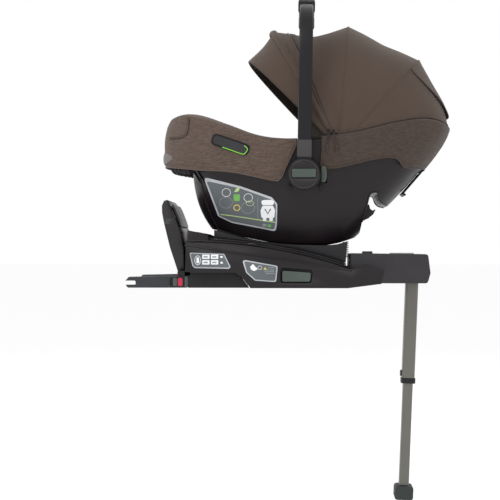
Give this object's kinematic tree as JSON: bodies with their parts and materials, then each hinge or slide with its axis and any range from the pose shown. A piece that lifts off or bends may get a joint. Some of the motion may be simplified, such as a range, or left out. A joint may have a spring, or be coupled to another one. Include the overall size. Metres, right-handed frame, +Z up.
{
  "type": "infant car seat with base",
  "caption": "Rear-facing infant carrier with a folding canopy and a swinging carry handle, docked on a car base with recline, sliding anchor connectors and a folding telescopic load leg.",
  "frame": {"origin": "centre of the base's underside, the face that rests on the car's seat cushion, straight below the handle's hinge", "axes": "+X to the child's head end, which faces the front of the car; +Y to the car's left; +Z up"},
  "size_m": [0.7402, 0.4372, 1.1648],
  "materials": {
    "black_plastic": "fine-grained moulded plastic",
    "soft_black": "satin moulded plastic",
    "brown_fabric": "brown melange woven fabric",
    "canopy_fabric": "brown plain-woven fabric",
    "lining_fabric": "dark soft knit",
    "webbing": "black woven webbing",
    "grey_green": "grey-green moulded plastic",
    "red_plastic": "red moulded plastic",
    "steel": "zinc-plated steel",
    "leg_alloy": "champagne-anodised aluminium",
    "clear_lens": "clear window over a level ball"
  },
  "bodies": {
    "base": {"base_tray": "black_plastic", "base_deck": "black_plastic", "slide_rail_left": "black_plastic", "slide_rail_right": "black_plastic", "side_cover_left": "black_plastic", "side_cover_right": "black_plastic", "leg_housing": "black_plastic", "level_window": "clear_lens", "leg_pin": "steel", "rebound_panel": "black_plastic", "rebound_pad": "soft_black", "arm_guide_left": "soft_black", "arm_guide_right": "soft_black"},
    "cradle": {"recline_cradle": "black_plastic", "dock_bar": "steel"},
    "carrier": {"carrier_shell": "black_plastic", "seat_liner": "lining_fabric", "seat_cover_head": "brown_fabric", "seat_cover_foot": "brown_fabric", "belt_guide_left": "soft_black", "belt_guide_right": "soft_black", "crotch_strap": "webbing", "buckle": "soft_black", "shoulder_strap_left": "webbing", "shoulder_strap_right": "webbing", "canopy_rear": "canopy_fabric", "bow_rear": "soft_black"},
    "handle": {"handle_frame": "soft_black", "handle_grip": "soft_black", "hub_cap_left": "soft_black", "hub_cap_right": "soft_black"},
    "release_lever": {"release_lever": "soft_black"},
    "dock_latch": {"dock_latch": "steel"},
    "buckle_button": {"buckle_button": "red_plastic"},
    "canopy_middle": {"bow_mid": "soft_black", "canopy_mid": "canopy_fabric"},
    "canopy_brow": {"bow_front": "soft_black", "canopy_front": "canopy_fabric", "canopy_visor": "canopy_fabric"},
    "leg": {"leg_outer_tube": "leg_alloy", "leg_collar": "soft_black"},
    "leg_slide": {"leg_inner_tube": "leg_alloy", "leg_foot": "soft_black"},
    "leg_button": {"leg_button": "grey_green"},
    "recline_key": {"recline_key": "grey_green"},
    "handle_button_left": {"handle_button_left": "grey_green"},
    "adapter_button_left": {"adapter_button_left": "grey_green"},
    "anchor_left": {"anchor_arm_left": "steel", "connector_left": "soft_black"},
    "anchor_tab_left": {"anchor_tab_left": "red_plastic"},
    "anchor_jaw_left": {"anchor_jaw_left": "steel"},
    "anchor_key_left": {"anchor_key_left": "grey_green"},
    "handle_button_right": {"handle_button_right": "grey_green"},
    "adapter_button_right": {"adapter_button_right": "grey_green"},
    "anchor_right": {"anchor_arm_right": "steel", "connector_right": "soft_black"},
    "anchor_tab_right": {"anchor_tab_right": "red_plastic"},
    "anchor_jaw_right": {"anchor_jaw_right": "steel"},
    "anchor_key_right": {"anchor_key_right": "grey_green"}
  },
  "joints": [
    {"name": "recline", "type": "hinge", "parent": "base", "child": "cradle", "pos_m": [-0.2556, 0, -0.9921], "axis": [0, -1, 0], "range_deg": [0, 2.5]},
    {"name": "carrier_lift", "type": "slide", "parent": "cradle", "child": "carrier", "axis": [0, 0, 1], "range_m": [0, 0.25]},
    {"name": "handle_swing", "type": "hinge", "parent": "carrier", "child": "handle", "pos_m": [0, 0, 0.2524], "axis": [0, 1, 0], "range_deg": [0, 110]},
    {"name": "release_pull", "type": "hinge", "parent": "carrier", "child": "release_lever", "pos_m": [0.269, 0, 0.2655], "axis": [0, -1, 0], "range_deg": [0, 20], "stiffness_Nm_per_rad": 0.6, "springref_deg": -11.46},
    {"name": "dock_latch_turn", "type": "hinge", "parent": "carrier", "child": "dock_latch", "pos_m": [0.03, 0, 0.118], "axis": [0, 1, 0], "range_deg": [0, 10], "stiffness_Nm_per_rad": 0.6, "springref_deg": -11.46},
    {"name": "buckle_release", "type": "slide", "parent": "carrier", "child": "buckle_button", "axis": [1, 0, 0], "range_m": [0, 0.0028], "stiffness_N_per_m": 900},
    {"name": "canopy_fold", "type": "hinge", "parent": "carrier", "child": "canopy_middle", "pos_m": [0.0772, 0, 0.3124], "axis": [0, 1, 0], "range_deg": [0, 29], "deforming": ["canopy_mid"]},
    {"name": "canopy_brow_fold", "type": "hinge", "parent": "canopy_middle", "child": "canopy_brow", "pos_m": [0.0772, 0, 0.3124], "axis": [0, 1, 0], "range_deg": [0, 24], "deforming": ["canopy_front"]},
    {"name": "leg_fold", "type": "hinge", "parent": "base", "child": "leg", "pos_m": [0.2525, 0, 0.022], "axis": [0, 1, 0], "range_deg": [0, 87.5]},
    {"name": "leg_extend", "type": "slide", "parent": "leg", "child": "leg_slide", "axis": [0.0401, 0, 0.9992], "range_m": [-0.045, 0.165]},
    {"name": "leg_unlock", "type": "slide", "parent": "leg", "child": "leg_button", "axis": [0.9992, 0, -0.0401], "range_m": [0, 0.0028], "stiffness_N_per_m": 900},
    {"name": "recline_unlock", "type": "slide", "parent": "base", "child": "recline_key", "axis": [0, 0, -1], "range_m": [0, 0.005], "stiffness_N_per_m": 600},
    {"name": "handle_unlock_left", "type": "slide", "parent": "handle", "child": "handle_button_left", "axis": [0, -1, 0], "range_m": [0, 0.0027], "stiffness_N_per_m": 900},
    {"name": "adapter_release_left", "type": "slide", "parent": "carrier", "child": "adapter_button_left", "axis": [0, -1, 0], "range_m": [0, 0.004], "stiffness_N_per_m": 900},
    {"name": "anchor_extend_left", "type": "slide", "parent": "base", "child": "anchor_left", "axis": [-1, 0, 0], "range_m": [0, 0.07]},
    {"name": "anchor_pull_left", "type": "slide", "parent": "anchor_left", "child": "anchor_tab_left", "axis": [1, 0, 0], "range_m": [0, 0.006], "stiffness_N_per_m": 600},
    {"name": "anchor_jaw_turn_left", "type": "hinge", "parent": "anchor_left", "child": "anchor_jaw_left", "pos_m": [-0.357, 0.14, 0.0105], "axis": [0, -1, 0], "range_deg": [0, 8], "stiffness_Nm_per_rad": 0.4, "springref_deg": -8.59},
    {"name": "anchor_unlock_left", "type": "slide", "parent": "base", "child": "anchor_key_left", "axis": [0, -1, 0], "range_m": [0, 0.0018], "stiffness_N_per_m": 900},
    {"name": "handle_unlock_right", "type": "slide", "parent": "handle", "child": "handle_button_right", "axis": [0, 1, 0], "range_m": [0, 0.0027], "stiffness_N_per_m": 900},
    {"name": "adapter_release_right", "type": "slide", "parent": "carrier", "child": "adapter_button_right", "axis": [0, 1, 0], "range_m": [0, 0.004], "stiffness_N_per_m": 900},
    {"name": "anchor_extend_right", "type": "slide", "parent": "base", "child": "anchor_right", "axis": [-1, 0, 0], "range_m": [0, 0.07]},
    {"name": "anchor_pull_right", "type": "slide", "parent": "anchor_right", "child": "anchor_tab_right", "axis": [1, 0, 0], "range_m": [0, 0.006], "stiffness_N_per_m": 600},
    {"name": "anchor_jaw_turn_right", "type": "hinge", "parent": "anchor_right", "child": "anchor_jaw_right", "pos_m": [-0.357, -0.14, 0.0105], "axis": [0, -1, 0], "range_deg": [0, 8], "stiffness_Nm_per_rad": 0.4, "springref_deg": -8.59},
    {"name": "anchor_unlock_right", "type": "slide", "parent": "base", "child": "anchor_key_right", "axis": [0, 1, 0], "range_m": [0, 0.0018], "stiffness_N_per_m": 900}
  ],
  "couplings": [
    {"joint": "canopy_brow_fold", "follows": "canopy_fold", "ratio": 0.82759},
    {"joint": "dock_latch_turn", "follows": "release_pull", "ratio": 0.5},
    {"joint": "anchor_jaw_turn_left", "follows": "anchor_pull_left", "rad_per_m": 23.271},
    {"joint": "anchor_jaw_turn_right", "follows": "anchor_pull_right", "rad_per_m": 23.271}
  ]
}
